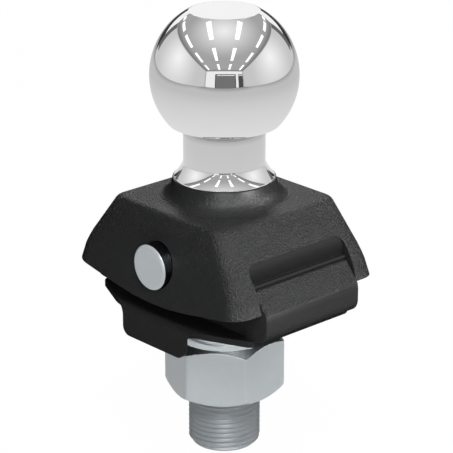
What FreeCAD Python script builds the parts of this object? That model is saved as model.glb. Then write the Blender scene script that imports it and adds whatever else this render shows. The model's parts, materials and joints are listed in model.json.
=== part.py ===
import FreeCAD, Part

import math
import os

# Cushioned tow ball: a chromed ball on a rocking housing, carried by a cross pin
# over a base block with a threaded shank. Millimetres.
# Origin: shank axis at the seat plane, which is the underside of the seat plate.
# +Z up the shank axis, X is the rocking direction, Y is the axis of the pivot pin.

Vec = FreeCAD.Vector
X_DIR = Vec(1, 0, 0)
Y_DIR = Vec(0, 1, 0)
Z_DIR = Vec(0, 0, 1)

# Clearances
RUN_FIT = 0.05
PRESS_FIT = 0.02
SOFT_GAP = 0.3
SIDE_GAP = 0.1

# How far working forms reach past what they cut or join, and how near counts as level
OVERLAP = 2.2
NEAR = 0.01

# Seat plate, a bent sheet that straddles the tongue of a ball mount
SHEET = 2.2
PLATE_HALF_LENGTH = 38.5
PLATE_END_HALF_WIDTH = 22.8
TONGUE_HALF_WIDTH = 31.2
TAB_HALF_LENGTH = 15.65
TAB_DROP = 8.6
TAB_CORNER_R = 3.2
PLATE_CORNER_R = 2.0
BEND_INNER_R = 1.5

# Shank and hitch nut
SHANK_R = 12.7
SHANK_LENGTH = 54.0
SHANK_PLAIN_LENGTH = 9.5
THREAD_R = 12.65
THREAD_RELIEF = 1.8
THREAD_RELIEF_R = 11.4
SHANK_END_CHAMFER = 1.5
SHANK_COLLAR_R = 13.2
SHANK_HEAD_GAP = 0.2
SHANK_HEAD_HEIGHT = 5.0
NUT_ACROSS_FLATS = 37.2
NUT_HEIGHT = 21.1
NUT_TOP_Z = -12.6
NUT_FACE_R = 17.6
NUT_CHAMFER_DEG = 31.0
NUT_TURN_DEG = 38.6
NUT_MOUTH = 1.2

# Pivot
PIVOT_Z = 20.8
PIN_R = 8.0
PIN_PROUD = 3.5
PIN_CHAMFER = 0.4
BUSH_WALL = 1.5
BUSH_FLANGE_R = 12.0
BUSH_FLANGE = 1.2

# Base block
EAR_HALF_WIDTH = 21.0
EAR_THICKNESS = 6.2
EAR_INNER_Y = EAR_HALF_WIDTH - EAR_THICKNESS
SHANK_HEAD_R = EAR_INNER_Y - SHANK_HEAD_GAP
EAR_WALL = 4.0
SLAB_TOP_Z = 12.2
SLAB_HALF_LENGTH = 15.8
SHELF_Z = 8.3
LEDGE_THICKNESS = 4.8
LUG_TIP_X = 44.2
LUG_CREASE_X = 43.7
LUG_CREASE_Z = 12.0
LUG_TIP_Z = 9.8
LUG_TOP_X = 38.0
LUG_TOP_Z = 19.9
LUG_LAND = 3.8
LUG_FOOT_R = 4.4
LUG_EDGE_R = 1.2
LUG_SIDE_GAP = 0.6

# Rocker housing
ROOF_Z = 38.6
ROOF_HALF_LENGTH = 26.7
CHEEK_WALL = 5.3
ROOF_CORNER_R = 4.6
SIDE_DRAFT = 0.2105
END_SLOPE = 0.73
KNEE_Z = 20.7
KNEE_BLEND = 2.6
LOWER_END_SLOPE = 0.44
FOOT_CORNER_R = 7.0
CHEEK_FOOT_Z = 13.3
CHEEK_VEE_SLOPE = 0.155
CHEEK_APEX_Z = 7.7
CHEEK_APEX_HALF = 18.0
CHANNEL_HALF_WIDTH = EAR_HALF_WIDTH + BUSH_FLANGE + SIDE_GAP
CHANNEL_TOP_Z = 34.8
END_WALL = 6.0
END_WALL_LOW_Z = 27.9
OPENING_CORNER_R = 3.5
ROOF_EDGE_R = 1.0
CHEEK_EDGE_R = 0.8
ROOF_HALF_WIDTH = CHANNEL_HALF_WIDTH + CHEEK_WALL
LUG_HALF_WIDTH = CHANNEL_HALF_WIDTH - LUG_SIDE_GAP
PIN_HALF_LENGTH = ROOF_HALF_WIDTH + SIDE_DRAFT * (ROOF_Z - PIVOT_Z) + PIN_PROUD

# Pedestal under the ball
COLLAR_Z = 45.5
COLLAR_R = 17.8
PEDESTAL_FOOT_R = 24.0
PEDESTAL_WAIST_R = 18.6
PEDESTAL_WAIST_Z = 42.0
PEDESTAL_DISH_R = 19.95
PEDESTAL_DISH_Z = 40.5

# Ball
BALL_R = 25.4
BALL_CENTRE_Z = 81.7
BALL_FLAT_R = 12.05
BALL_SHOULDER_R = 19.7
NECK_R = 14.1
FLARE_R = 17.4
FLARE_RIM = 0.4
FLARE_RIM_DEG = 45.4
FLARE_SWEEP_R = 13.8
FLARE_BLEND_R = 2.7
STUD_NUT_GAP = 0.8
STUD_NUT_WALL = 4.0
STUD_NUT_R = EAR_INNER_Y - STUD_NUT_GAP
STUD_R = STUD_NUT_R - STUD_NUT_WALL
STUD_NUT_HEIGHT = 5.0
STUD_NUT_SLOT = 4.0
STUD_NUT_SLOT_DEPTH = 2.0
STUD_NUT_SLOTS = 4

# Rubber cushions
CUSHION_INNER_X = 16.6
CUSHION_BULGE_X = 37.6

# Countersunk screws that hold the plate to the block
SCREW_INSET = 12.5
SCREW_X = PLATE_HALF_LENGTH - SCREW_INSET
SCREW_R = 2.5
SCREW_HEAD_R = 4.6
SCREW_HEAD_DEPTH = 2.0
SCREW_REACH = 5.0
SOCKET_ACROSS = 3.0
SOCKET_DEPTH = 1.4


def face_of(points, plane):
    """Closed straight-sided face; plane is 'xz', 'yz' or 'xy'."""
    place = {
        "xz": lambda a, b: Vec(a, 0, b),
        "yz": lambda a, b: Vec(0, a, b),
        "xy": lambda a, b: Vec(a, b, 0),
    }[plane]
    corners = [place(a, b) for a, b in points]
    corners.append(corners[0])
    return Part.Face(Part.makePolygon(corners))


def prism(face, direction, low, high):
    """Extrude a face that stands on the origin plane from low to high."""
    solid = face.copy()
    solid.translate(direction * low)
    return solid.extrude(direction * (high - low))


def both_ends(points):
    """Points of a half profile at +x, completed by their mirror at -x."""
    return points + [(-x, z) for x, z in reversed(points)]


def turned(points):
    """Solid of revolution about Z from an (r, z) outline."""
    face = face_of(points, "xz")
    return face.revolve(Vec(0, 0, 0), Z_DIR, 360)


def y_cylinder(radius, y_low, y_high):
    """Cylinder on the pivot axis."""
    return Part.makeCylinder(radius, y_high - y_low, Vec(0, y_low, PIVOT_Z), Y_DIR)


def box(x_low, x_high, y_low, y_high, z_low, z_high):
    return Part.makeBox(x_high - x_low, y_high - y_low, z_high - z_low,
                        Vec(x_low, y_low, z_low))


def rounded_rectangle(half_x, half_y, radius, z):
    """Wire of a rectangle with round corners, level at height z."""
    edges = []
    turns = [(1, 1, 0), (-1, 1, 90), (-1, -1, 180), (1, -1, 270)]
    arcs = []
    for sx, sy, start in turns:
        centre = Vec(sx * (half_x - radius), sy * (half_y - radius), z)
        angles = [math.radians(start + step) for step in (0, 45, 90)]
        arcs.append([centre + Vec(radius * math.cos(a), radius * math.sin(a), 0)
                     for a in angles])
    for index, (first, middle, last) in enumerate(arcs):
        edges.append(Part.Arc(first, middle, last).toShape())
        following = arcs[(index + 1) % len(arcs)][0]
        edges.append(Part.LineSegment(last, following).toShape())
    return Part.Wire(edges)


# Housing outline shared by its walls

def end_x(z):
    """Half length of the housing at height z: a long slope, then a steeper foot."""
    if z >= KNEE_Z:
        return ROOF_HALF_LENGTH + END_SLOPE * (ROOF_Z - z)
    knee_x = ROOF_HALF_LENGTH + END_SLOPE * (ROOF_Z - KNEE_Z)
    return knee_x + LOWER_END_SLOPE * (KNEE_Z - z)


def side_y(z):
    """Half width of the housing at height z, over its drafted cheeks."""
    return ROOF_HALF_WIDTH + SIDE_DRAFT * (ROOF_Z - z)


def corner_r(z):
    """Plan radius of the housing's corners, growing towards the feet."""
    share = (ROOF_Z - z) / (ROOF_Z - CHEEK_FOOT_Z)
    return ROOF_CORNER_R + share * (FOOT_CORNER_R - ROOF_CORNER_R)


def housing_block():
    """Drafted outer form, four ruled stages between rounded rectangles."""
    low_z = CHEEK_APEX_Z - OVERLAP
    above_knee = KNEE_Z + KNEE_BLEND
    below_knee = KNEE_Z - KNEE_BLEND
    chord_x = (end_x(above_knee) + end_x(below_knee)) / 2
    knee_x = (chord_x + end_x(KNEE_Z)) / 2
    stages = [(ROOF_Z, end_x(ROOF_Z)), (above_knee, end_x(above_knee)),
              (KNEE_Z, knee_x), (below_knee, end_x(below_knee)), (low_z, end_x(low_z))]
    wires = [rounded_rectangle(half_x, side_y(z), corner_r(z), z) for z, half_x in stages]
    block = Part.makeLoft(wires, True, True)
    return block


def vee_cutter():
    """Space under the cheeks: a shallow vee with a round apex."""
    vee_z = CHEEK_APEX_Z + CHEEK_VEE_SLOPE * CHEEK_APEX_HALF / 2
    foot_x = end_x(CHEEK_FOOT_Z)
    far_x = 2 * foot_x
    deep_z = CHEEK_APEX_Z - 3 * OVERLAP
    edge_z = vee_z + CHEEK_VEE_SLOPE * (far_x - CHEEK_APEX_HALF)
    left = Vec(-CHEEK_APEX_HALF, 0, vee_z)
    right = Vec(CHEEK_APEX_HALF, 0, vee_z)
    apex = Vec(0, 0, CHEEK_APEX_Z)
    ends = [Vec(far_x, 0, edge_z), Vec(far_x, 0, deep_z), Vec(-far_x, 0, deep_z),
            Vec(-far_x, 0, edge_z)]
    edges = [Part.Arc(left, apex, right).toShape()]
    points = [right] + ends + [left]
    for start, stop in zip(points, points[1:]):
        edges.append(Part.LineSegment(start, stop).toShape())
    face = Part.Face(Part.Wire(edges))
    reach = 2 * side_y(0)
    return prism(face, Y_DIR, -reach, reach)


def slope_offset(x, z, depth):
    """Point at a depth below the housing's end slope, square to it."""
    length = math.hypot(1, END_SLOPE)
    return (x - depth / length, z - depth * END_SLOPE / length)


def end_wall_points():
    """Lower lip of an end wall: its outer corner and its inner corner."""
    outer = (end_x(END_WALL_LOW_Z), END_WALL_LOW_Z)
    return outer, slope_offset(outer[0], outer[1], END_WALL)


def channel_cutter():
    """Inside of the housing between the cheeks, with sloping end walls."""
    outer, inner = end_wall_points()
    top_x = inner[0] - END_SLOPE * (CHANNEL_TOP_Z - inner[1])
    half = [(top_x, CHANNEL_TOP_Z), inner, (inner[0], 0)]
    face = face_of(both_ends(half), "xz")
    return prism(face, Y_DIR, -CHANNEL_HALF_WIDTH, CHANNEL_HALF_WIDTH)


def opening_tunnel(gap):
    """Long form of an end opening, with round top corners, less a gap all round."""
    far_x = 2 * end_wall_points()[0][0]
    top_z = END_WALL_LOW_Z - gap
    section = rounded_rectangle(CHANNEL_HALF_WIDTH - gap, top_z, OPENING_CORNER_R, 0)
    tunnel = Part.Face(section).extrude(Z_DIR * far_x)
    tunnel.rotate(Vec(0, 0, 0), Vec(1, 1, 1), 120)
    return tunnel


def opening_cutter(side):
    """Opening under an end wall at side +1 or -1."""
    outer, inner = end_wall_points()
    far_x = 2 * outer[0]
    lip = face_of([(inner[0], 0), inner, outer, (far_x, outer[1]), (far_x, 0)], "xz")
    blank = prism(lip, Y_DIR, -CHANNEL_HALF_WIDTH, CHANNEL_HALF_WIDTH)
    cutter = blank.common(opening_tunnel(0))
    if side < 0:
        cutter = cutter.mirror(Vec(0, 0, 0), X_DIR)
    return cutter


def pedestal():
    """Dished foot that carries the ball's flange above the roof."""
    rim = Vec(COLLAR_R, 0, COLLAR_Z)
    waist = Vec(PEDESTAL_WAIST_R, 0, PEDESTAL_WAIST_Z)
    dish = Vec(PEDESTAL_DISH_R, 0, PEDESTAL_DISH_Z)
    foot = Vec(PEDESTAL_FOOT_R, 0, ROOF_Z)
    deep = ROOF_Z - OVERLAP
    edges = [Part.LineSegment(Vec(0, 0, COLLAR_Z), rim).toShape(),
             Part.LineSegment(rim, waist).toShape(),
             Part.Arc(waist, dish, foot).toShape()]
    outline = [foot, Vec(PEDESTAL_FOOT_R, 0, deep), Vec(0, 0, deep), Vec(0, 0, COLLAR_Z)]
    for start, stop in zip(outline, outline[1:]):
        edges.append(Part.LineSegment(start, stop).toShape())
    face = Part.Face(Part.Wire(edges))
    return face.revolve(Vec(0, 0, 0), Z_DIR, 360)


def level_edges(shape, z):
    """Edges of a shape that lie level at height z."""
    found = []
    for edge in shape.Edges:
        bounds = edge.BoundBox
        if max(abs(bounds.ZMin - z), abs(bounds.ZMax - z)) < NEAR:
            found.append(edge)
    return found


def foot_edges(block):
    """Edges round the underside of the housing, without those that cross it."""
    found = []
    for edge in block.Edges:
        bounds = edge.BoundBox
        low = bounds.ZMax < CHEEK_FOOT_Z + CHEEK_EDGE_R
        crossing = abs(abs(bounds.Center.x) - CHEEK_APEX_HALF) < NEAR
        if low and not crossing:
            found.append(edge)
    return found


def rocker_housing():
    block = housing_block()
    block = block.makeFillet(ROOF_EDGE_R, level_edges(block, ROOF_Z))
    block = block.cut(vee_cutter())
    block = block.makeFillet(CHEEK_EDGE_R, foot_edges(block))
    block = block.fuse(pedestal())
    block = block.cut(channel_cutter())
    block = block.cut(opening_cutter(1))
    block = block.cut(opening_cutter(-1))
    reach = 2 * PIN_HALF_LENGTH
    block = block.cut(y_cylinder(PIN_R + PRESS_FIT, -reach, reach))
    stud_hole = Part.makeCylinder(STUD_R + RUN_FIT, COLLAR_Z, Vec(0, 0, PIVOT_Z), Z_DIR)
    block = block.cut(stud_hole)
    return block.removeSplitter()


def arc_edge(centre_r, centre_z, radius, start_deg, stop_deg):
    """Arc in the XZ plane between two angles, measured from +X towards +Z."""
    spots = []
    for angle in (start_deg, (start_deg + stop_deg) / 2, stop_deg):
        turn = math.radians(angle)
        spots.append(Vec(centre_r + radius * math.cos(turn), 0,
                         centre_z + radius * math.sin(turn)))
    return Part.Arc(*spots).toShape()


def chained(edges):
    """Wire of arcs in order, joined by straight edges and closed on itself."""
    joined = []
    for index, edge in enumerate(edges):
        following = edges[(index + 1) % len(edges)]
        joined.append(edge)
        stop = edge.valueAt(edge.LastParameter)
        start = following.valueAt(following.FirstParameter)
        if stop.distanceToPoint(start) > 1e-6:
            joined.append(Part.LineSegment(stop, start).toShape())
    return Part.Wire(joined)


def tow_ball():
    """Ball, neck, flange and the stud that passes through the roof."""
    flat_drop = math.sqrt(BALL_R ** 2 - BALL_FLAT_R ** 2)
    top_deg = math.degrees(math.asin(flat_drop / BALL_R))
    shoulder_deg = -math.degrees(math.acos(BALL_SHOULDER_R / BALL_R))
    shoulder_z = BALL_CENTRE_Z - math.sqrt(BALL_R ** 2 - BALL_SHOULDER_R ** 2)
    throat_r = BALL_SHOULDER_R - NECK_R
    rim_z = COLLAR_Z + FLARE_RIM
    rim_turn = math.radians(FLARE_RIM_DEG)
    flare_r = FLARE_R + FLARE_SWEEP_R * math.cos(rim_turn)
    flare_z = rim_z + FLARE_SWEEP_R * math.sin(rim_turn)
    step = FLARE_SWEEP_R - FLARE_BLEND_R
    blend_turn = math.acos((flare_r - NECK_R - FLARE_BLEND_R) / step)
    blend_z = flare_z - step * math.sin(blend_turn)
    blend_deg = math.degrees(blend_turn)
    flat_z = BALL_CENTRE_Z + flat_drop
    axis_top = Part.LineSegment(Vec(BALL_FLAT_R, 0, flat_z), Vec(0, 0, flat_z)).toShape()
    stud_end = CHANNEL_TOP_Z - STUD_NUT_HEIGHT
    stud = Part.makePolygon([Vec(0, 0, stud_end), Vec(STUD_R, 0, stud_end),
                             Vec(STUD_R, 0, COLLAR_Z), Vec(FLARE_R, 0, COLLAR_Z),
                             Vec(FLARE_R, 0, rim_z)])
    flare = arc_edge(flare_r, flare_z, FLARE_SWEEP_R, 180 + FLARE_RIM_DEG, 180 + blend_deg)
    blend = arc_edge(NECK_R + FLARE_BLEND_R, blend_z, FLARE_BLEND_R, 180 + blend_deg, 180)
    throat = arc_edge(BALL_SHOULDER_R, shoulder_z - throat_r, throat_r, 180, 90)
    sphere = arc_edge(0, BALL_CENTRE_Z, BALL_R, shoulder_deg, top_deg)
    wire = chained(list(stud.Edges) + [flare, blend, throat, sphere, axis_top])
    return Part.Face(wire).revolve(Vec(0, 0, 0), Z_DIR, 360)


def ball_stud_nut():
    """Round slotted nut under the roof that holds the ball's stud."""
    low = CHANNEL_TOP_Z - STUD_NUT_HEIGHT
    nut = Part.makeCylinder(STUD_NUT_R, STUD_NUT_HEIGHT, Vec(0, 0, low), Z_DIR)
    bore = Part.makeCylinder(STUD_R + RUN_FIT, STUD_NUT_HEIGHT, Vec(0, 0, low), Z_DIR)
    nut = nut.cut(bore)
    for index in range(STUD_NUT_SLOTS):
        slot = box(STUD_NUT_R - STUD_NUT_SLOT_DEPTH, STUD_NUT_R + OVERLAP,
                   -STUD_NUT_SLOT / 2, STUD_NUT_SLOT / 2, low, CHANNEL_TOP_Z)
        slot.rotate(Vec(0, 0, 0), Z_DIR, 360 / STUD_NUT_SLOTS * (index + 0.5))
        nut = nut.cut(slot)
    return nut


def pivot_pin():
    pin = y_cylinder(PIN_R, -PIN_HALF_LENGTH, PIN_HALF_LENGTH)
    rims = [edge for edge in pin.Edges
            if abs(abs(edge.BoundBox.Center.y) - PIN_HALF_LENGTH) < NEAR]
    return pin.makeChamfer(PIN_CHAMFER, rims)


def pivot_bush(side):
    """Flanged bush in one ear of the base block."""
    outer_r = PIN_R + RUN_FIT + BUSH_WALL
    rim_y = EAR_HALF_WIDTH + BUSH_FLANGE
    bush = y_cylinder(outer_r, EAR_INNER_Y, rim_y)
    bush = bush.fuse(y_cylinder(BUSH_FLANGE_R, EAR_HALF_WIDTH, rim_y))
    bush = bush.cut(y_cylinder(PIN_R + RUN_FIT, 0, 2 * rim_y))
    bush = bush.removeSplitter()
    if side < 0:
        bush = bush.mirror(Vec(0, 0, 0), Y_DIR)
    return bush


def block_profile():
    """Side outline of the base block: shelf, lugs and foot rounds."""
    foot = Vec(LUG_TIP_X - LUG_FOOT_R, 0, SHEET + LUG_FOOT_R)
    bend = math.radians(315)
    half = [Vec(SLAB_HALF_LENGTH, 0, SLAB_TOP_Z),
            Vec(SLAB_HALF_LENGTH, 0, SHELF_Z),
            Vec(LUG_TOP_X - LUG_LAND, 0, SHELF_Z),
            Vec(LUG_TOP_X - LUG_LAND, 0, LUG_TOP_Z),
            Vec(LUG_TOP_X, 0, LUG_TOP_Z),
            Vec(LUG_CREASE_X, 0, LUG_CREASE_Z),
            Vec(LUG_TIP_X, 0, LUG_TIP_Z),
            Vec(LUG_TIP_X, 0, foot.z)]
    middle = foot + Vec(LUG_FOOT_R * math.cos(bend), 0, LUG_FOOT_R * math.sin(bend))
    last = Vec(foot.x, 0, SHEET)
    edges = []
    for sign in (1, -1):
        points = [Vec(sign * p.x, 0, p.z) for p in half]
        for start, stop in zip(points, points[1:]):
            edges.append(Part.LineSegment(start, stop).toShape())
        low = Vec(sign * last.x, 0, last.z)
        mid = Vec(sign * middle.x, 0, middle.z)
        edges.append(Part.Arc(points[-1], mid, low).toShape())
    top = [Vec(-SLAB_HALF_LENGTH, 0, SLAB_TOP_Z), Vec(SLAB_HALF_LENGTH, 0, SLAB_TOP_Z)]
    edges.append(Part.LineSegment(*top).toShape())
    edges.append(Part.LineSegment(Vec(-last.x, 0, SHEET), last).toShape())
    return Part.Face(Part.Wire(Part.sortEdges(edges)[0]))


def block_ear(side):
    """Upright ear that carries a bush, round about the pivot."""
    ear_r = PIN_R + RUN_FIT + BUSH_WALL + EAR_WALL
    ear = y_cylinder(ear_r, EAR_INNER_Y, EAR_HALF_WIDTH)
    ear = ear.fuse(box(-ear_r, ear_r, EAR_INNER_Y, EAR_HALF_WIDTH, SHELF_Z, PIVOT_Z))
    if side < 0:
        ear = ear.mirror(Vec(0, 0, 0), Y_DIR)
    return ear


def screw_spots():
    return {"front": SCREW_X, "rear": -SCREW_X}


def base_block():
    block = prism(block_profile(), Y_DIR, -LUG_HALF_WIDTH, LUG_HALF_WIDTH)
    uprights = [edge for edge in block.Edges
                if abs(abs(edge.BoundBox.Center.y) - LUG_HALF_WIDTH) < NEAR
                and abs(edge.BoundBox.Center.x) > LUG_TOP_X]
    block = block.makeFillet(LUG_EDGE_R, uprights)
    waist_x = LUG_TOP_X - LUG_LAND
    for side in (1, -1):
        y_low, y_high = sorted((side * EAR_HALF_WIDTH, side * LUG_HALF_WIDTH))
        block = block.cut(box(-waist_x, waist_x, y_low, y_high, SHEET, SLAB_TOP_Z))
        block = block.fuse(block_ear(side))
    head_seat_z = SHEET + LEDGE_THICKNESS
    block = block.cut(Part.makeCylinder(SHANK_COLLAR_R + RUN_FIT, LEDGE_THICKNESS,
                                        Vec(0, 0, SHEET), Z_DIR))
    block = block.cut(Part.makeCylinder(SHANK_HEAD_R + RUN_FIT, SLAB_TOP_Z,
                                        Vec(0, 0, head_seat_z), Z_DIR))
    seat_r = PIN_R + RUN_FIT + BUSH_WALL + RUN_FIT
    reach = 2 * EAR_HALF_WIDTH
    block = block.cut(y_cylinder(seat_r, -reach, reach))
    for x in screw_spots().values():
        hole = Part.makeCylinder(SCREW_R + RUN_FIT, SCREW_REACH, Vec(x, 0, SHEET), Z_DIR)
        block = block.cut(hole)
    return block.removeSplitter()


def threaded_shank():
    """Headed stud: head in the block, collar, plain neck, relief and thread."""
    seat_z = SHEET + LEDGE_THICKNESS
    top_z = seat_z + SHANK_HEAD_HEIGHT
    end_z = -SHANK_LENGTH
    relief_z = -SHANK_PLAIN_LENGTH
    thread_z = relief_z - THREAD_RELIEF
    outline = [(0, end_z), (THREAD_R - SHANK_END_CHAMFER, end_z),
               (THREAD_R, end_z + SHANK_END_CHAMFER), (THREAD_R, thread_z),
               (THREAD_RELIEF_R, thread_z), (THREAD_RELIEF_R, relief_z),
               (SHANK_R, relief_z), (SHANK_R, 0), (SHANK_COLLAR_R, 0),
               (SHANK_COLLAR_R, seat_z), (SHANK_HEAD_R, seat_z),
               (SHANK_HEAD_R, top_z), (0, top_z)]
    return turned(outline)


def seat_plate():
    """Bent sheet: tapered plate with a tab down each side of the tongue."""
    outer_y = TONGUE_HALF_WIDTH + SHEET
    outer_r = BEND_INNER_R + SHEET
    flat_y = outer_y - outer_r
    blank = box(-PLATE_HALF_LENGTH, PLATE_HALF_LENGTH, -flat_y, flat_y, 0, SHEET)
    low_z = -TAB_DROP
    for side in (1, -1):
        centre = Vec(0, side * flat_y, -BEND_INNER_R)
        diagonal = Vec(0, side * math.sqrt(0.5), math.sqrt(0.5))
        outside = [Vec(0, side * flat_y, SHEET), centre + diagonal * outer_r,
                   Vec(0, side * outer_y, -BEND_INNER_R)]
        inside = [Vec(0, side * flat_y, 0), centre + diagonal * BEND_INNER_R,
                  Vec(0, side * TONGUE_HALF_WIDTH, -BEND_INNER_R)]
        tab_out = Vec(0, side * outer_y, low_z)
        tab_in = Vec(0, side * TONGUE_HALF_WIDTH, low_z)
        edges = [Part.Arc(*outside).toShape(), Part.Arc(*inside).toShape(),
                 Part.LineSegment(outside[0], inside[0]).toShape(),
                 Part.LineSegment(outside[2], tab_out).toShape(),
                 Part.LineSegment(tab_out, tab_in).toShape(),
                 Part.LineSegment(tab_in, inside[2]).toShape()]
        face = Part.Face(Part.Wire(Part.sortEdges(edges)[0]))
        blank = blank.fuse(prism(face, X_DIR, -PLATE_HALF_LENGTH, PLATE_HALF_LENGTH))
    quarter = [(PLATE_HALF_LENGTH, PLATE_END_HALF_WIDTH), (TAB_HALF_LENGTH, outer_y)]
    upper = quarter + [(-x, y) for x, y in reversed(quarter)]
    outline = upper + [(x, -y) for x, y in reversed(upper)]
    mask = prism(face_of(outline, "xy"), Z_DIR, -BEND_INNER_R, SHEET + OVERLAP)
    reach = outer_y + OVERLAP
    tab_face = rounded_rectangle(TAB_HALF_LENGTH, TAB_DROP, TAB_CORNER_R, -reach)
    tabs = Part.Face(tab_face).extrude(Z_DIR * 2 * reach)
    tabs.rotate(Vec(0, 0, 0), X_DIR, 90)
    below = box(-PLATE_HALF_LENGTH, PLATE_HALF_LENGTH, -outer_y, outer_y,
                -2 * TAB_DROP, -BEND_INNER_R)
    plate = blank.common(mask.fuse(tabs.common(below)))
    corners = [edge for edge in plate.Edges
               if abs(abs(edge.BoundBox.Center.x) - PLATE_HALF_LENGTH) < NEAR
               and edge.BoundBox.ZLength > SHEET / 2]
    plate = plate.makeFillet(PLATE_CORNER_R, corners)
    shank_hole = Part.makeCylinder(SHANK_COLLAR_R + RUN_FIT, SHEET, Vec(0, 0, 0), Z_DIR)
    plate = plate.cut(shank_hole)
    for x in screw_spots().values():
        plate = plate.cut(countersink(x, RUN_FIT))
    return plate.removeSplitter()


def countersink(x, extra):
    """Form of a countersunk head and its hole through the sheet."""
    cone = Part.makeCone(SCREW_HEAD_R + extra, SCREW_R + extra, SCREW_HEAD_DEPTH,
                         Vec(x, 0, 0), Z_DIR)
    stem = Part.makeCylinder(SCREW_R + extra, SHEET, Vec(x, 0, 0), Z_DIR)
    return cone.fuse(stem)


def plate_screw(x):
    """Countersunk socket screw, its head flush with the seat."""
    screw = countersink(x, 0)
    screw = screw.fuse(Part.makeCylinder(SCREW_R, SHEET + SCREW_REACH, Vec(x, 0, 0), Z_DIR))
    socket = hexagon(SOCKET_ACROSS, 0).extrude(Z_DIR * SOCKET_DEPTH)
    socket.translate(Vec(x, 0, 0))
    return screw.cut(socket).removeSplitter()


def hexagon(across_flats, turn_deg):
    """Level hexagonal face about the origin."""
    corner_radius = across_flats / math.sqrt(3)
    points = []
    for index in range(6):
        angle = math.radians(turn_deg + 60 * index)
        points.append((corner_radius * math.cos(angle), corner_radius * math.sin(angle)))
    return face_of(points, "xy")


def hex_nut():
    """Heavy hexagon nut, chamfered on both faces."""
    low_z = NUT_TOP_Z - NUT_HEIGHT
    nut = hexagon(NUT_ACROSS_FLATS, NUT_TURN_DEG).extrude(Z_DIR * NUT_HEIGHT)
    nut.translate(Vec(0, 0, low_z))
    rise = math.tan(math.radians(NUT_CHAMFER_DEG))
    reach = NUT_ACROSS_FLATS
    depth = (reach - NUT_FACE_R) * rise
    outline = [(0, low_z), (NUT_FACE_R, low_z), (reach, low_z + depth),
               (reach, NUT_TOP_Z - depth), (NUT_FACE_R, NUT_TOP_Z), (0, NUT_TOP_Z)]
    nut = nut.common(turned(outline))
    bore_r = SHANK_R + RUN_FIT
    mouth_r = bore_r + NUT_MOUTH
    bore = [(0, low_z), (mouth_r, low_z), (bore_r, low_z + NUT_MOUTH),
            (bore_r, NUT_TOP_Z - NUT_MOUTH), (mouth_r, NUT_TOP_Z), (0, NUT_TOP_Z)]
    return nut.cut(turned(bore))


def cushion(side):
    """Rubber block between the shelf, the lug and the inside of the housing."""
    outer, inner = end_wall_points()
    gap = SOFT_GAP
    top_z = CHANNEL_TOP_Z - gap
    top_x = inner[0] - END_SLOPE * (CHANNEL_TOP_Z - inner[1])
    drop = gap * math.hypot(1, END_SLOPE)
    lug_x = LUG_TOP_X - LUG_LAND - gap
    points = [(CUSHION_INNER_X, SHELF_Z), (lug_x, SHELF_Z), (lug_x, LUG_TOP_Z + gap),
              (CUSHION_BULGE_X, LUG_TOP_Z + gap),
              (outer[0] - gap, outer[1] - 2 * gap), (inner[0] - gap, inner[1] - 2 * gap),
              (top_x - drop, top_z), (CUSHION_INNER_X, top_z)]
    half = CHANNEL_HALF_WIDTH - gap
    block = prism(face_of(points, "xz"), Y_DIR, -half, half)
    inside = box(0, inner[0] - gap, -half, half, 0, CHANNEL_TOP_Z)
    block = block.common(inside.fuse(opening_tunnel(gap)))
    if side < 0:
        block = block.mirror(Vec(0, 0, 0), X_DIR)
    return block.removeSplitter()


def save(name, shape):
    solid = shape.Solids[0] if len(shape.Solids) == 1 else shape
    print(name, len(shape.Solids), solid.isValid(), round(solid.Volume, 1))
    solid.exportStep("parts/" + name + ".step")


os.makedirs("parts", exist_ok=True)
save("tow_ball", tow_ball())
save("ball_stud_nut", ball_stud_nut())
save("rocker_housing", rocker_housing())
save("pivot_pin", pivot_pin())
save("pivot_bush_left", pivot_bush(1))
save("pivot_bush_right", pivot_bush(-1))
save("base_block", base_block())
save("threaded_shank", threaded_shank())
save("seat_plate", seat_plate())
save("cushion_front", cushion(1))
save("cushion_rear", cushion(-1))
save("hex_nut", hex_nut())
for label, spot in screw_spots().items():
    save("plate_screw_" + label, plate_screw(spot))
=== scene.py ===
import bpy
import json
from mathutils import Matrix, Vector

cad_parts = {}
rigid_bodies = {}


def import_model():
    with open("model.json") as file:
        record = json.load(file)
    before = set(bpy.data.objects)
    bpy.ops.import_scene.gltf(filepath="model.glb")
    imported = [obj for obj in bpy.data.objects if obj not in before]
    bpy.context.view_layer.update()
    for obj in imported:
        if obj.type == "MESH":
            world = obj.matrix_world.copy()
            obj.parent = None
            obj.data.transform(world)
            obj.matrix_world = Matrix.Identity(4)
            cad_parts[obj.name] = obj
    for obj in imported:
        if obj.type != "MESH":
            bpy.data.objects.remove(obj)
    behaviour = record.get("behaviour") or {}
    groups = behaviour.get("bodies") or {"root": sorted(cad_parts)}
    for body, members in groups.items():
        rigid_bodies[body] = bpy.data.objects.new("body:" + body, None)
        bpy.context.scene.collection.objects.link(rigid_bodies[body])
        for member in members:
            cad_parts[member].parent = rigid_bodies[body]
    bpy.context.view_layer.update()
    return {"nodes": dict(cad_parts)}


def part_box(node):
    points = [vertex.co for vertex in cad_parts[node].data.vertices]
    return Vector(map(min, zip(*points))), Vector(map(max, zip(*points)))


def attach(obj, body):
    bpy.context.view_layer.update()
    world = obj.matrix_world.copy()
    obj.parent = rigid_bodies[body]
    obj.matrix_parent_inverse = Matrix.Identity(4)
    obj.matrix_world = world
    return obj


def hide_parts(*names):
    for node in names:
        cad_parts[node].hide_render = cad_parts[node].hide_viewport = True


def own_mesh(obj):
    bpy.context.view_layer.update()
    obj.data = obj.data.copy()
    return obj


bl_info = {
    "name": "Cushioned tow ball",
    "version": (1, 0, 0),
    "blender": (4, 5, 0),
    "location": "3D View > Sidebar > Tow Ball",
    "description": "Looks of a chromed tow ball on a rocking housing with rubber cushions",
    "category": "Add Mesh",
}

import json
import math

import bmesh
import bpy
from mathutils import Matrix, Vector

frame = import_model()

MM = 0.001
NEAR = 1e-7  # metres between points that count as one

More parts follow.
